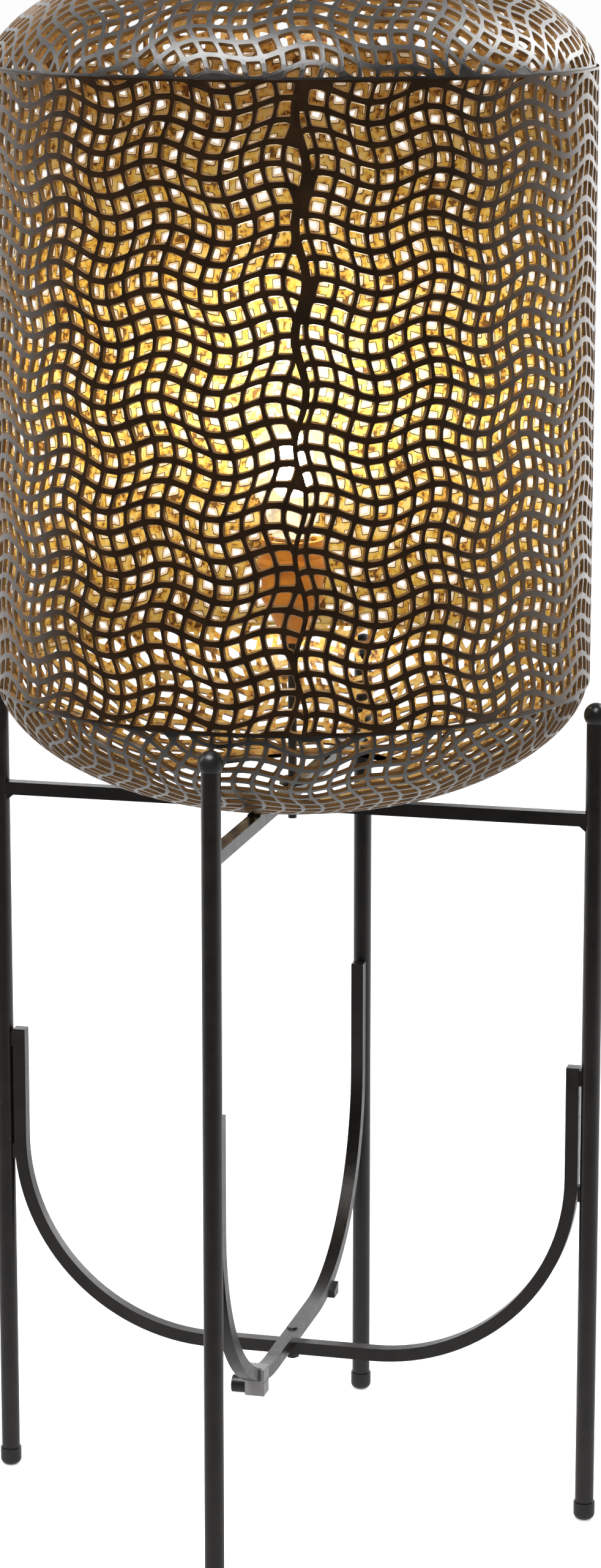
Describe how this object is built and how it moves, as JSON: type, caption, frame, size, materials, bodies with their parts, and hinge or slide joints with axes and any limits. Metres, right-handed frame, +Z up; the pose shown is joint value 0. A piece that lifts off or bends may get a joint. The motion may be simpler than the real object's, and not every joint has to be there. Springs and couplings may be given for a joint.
{
  "type": "lantern floor lamp",
  "caption": "Floor lantern: a pierced wave-pattern drum with domed ends and an upright bulb, carried between tube legs on crossed bars, braced by crossed U-shaped hoops.",
  "frame": {"origin": "on the floor, under the drum's axis, at the centre of the leg circle", "axes": "+Z up along the drum's axis, +X towards the right leg, -Y towards the front leg"},
  "size_m": [0.439, 0.439, 1.0719],
  "materials": {
    "black_paint": "satin black powder coat",
    "dark_sheet": "satin black outside, gold inside",
    "end_plastic": "matt black",
    "grey_metal": "satin grey",
    "dark_steel": "black finished steel",
    "holder_plastic": "black moulding",
    "insulator": "off-white",
    "contact_brass": "bright",
    "cap_metal": "plain",
    "black_glass": "glossy",
    "clear_glass": "clear",
    "lit_core": "lit, warm white"
  },
  "bodies": {
    "stand": {"leg_front": "black_paint", "leg_right": "black_paint", "leg_back": "black_paint", "leg_left": "black_paint", "crossbar_lower": "black_paint", "crossbar_upper": "black_paint", "hoop_lower": "black_paint", "hoop_upper": "black_paint", "hoop_welds": "black_paint", "crossbar_welds": "black_paint", "rest_tabs": "black_paint", "drum_right": "dark_sheet", "drum_left": "dark_sheet", "seam_strap_front": "dark_sheet", "seam_strap_back": "dark_sheet", "dome_bottom": "dark_sheet", "dome_top": "dark_sheet", "cap_front": "end_plastic", "cap_right": "end_plastic", "cap_back": "end_plastic", "cap_left": "end_plastic", "foot_front": "end_plastic", "foot_right": "end_plastic", "foot_back": "end_plastic", "foot_left": "end_plastic", "clamp_pad_front": "end_plastic", "clamp_back": "end_plastic", "clamp_front": "grey_metal", "hoop_screw": "dark_steel", "hoop_nut": "dark_steel", "stem": "dark_steel", "stem_nut": "dark_steel", "spread_washer": "dark_steel", "stem_locknut": "dark_steel", "holder_base": "holder_plastic", "holder_shell": "holder_plastic", "holder_collar": "holder_plastic", "holder_insulator": "insulator", "holder_contact": "contact_brass", "holder_sleeve": "contact_brass"},
    "bulb": {"bulb_cap": "cap_metal", "bulb_contact": "contact_brass", "bulb_insulator": "black_glass", "bulb_glass": "clear_glass", "bulb_core": "lit_core"}
  },
  "joints": [
    {"name": "bulb_turn", "type": "hinge", "parent": "stand", "child": "bulb", "pos_m": [0, 0, 0.7], "axis": [0, 0, 1], "range_deg": [0, 1080]}
  ]
}
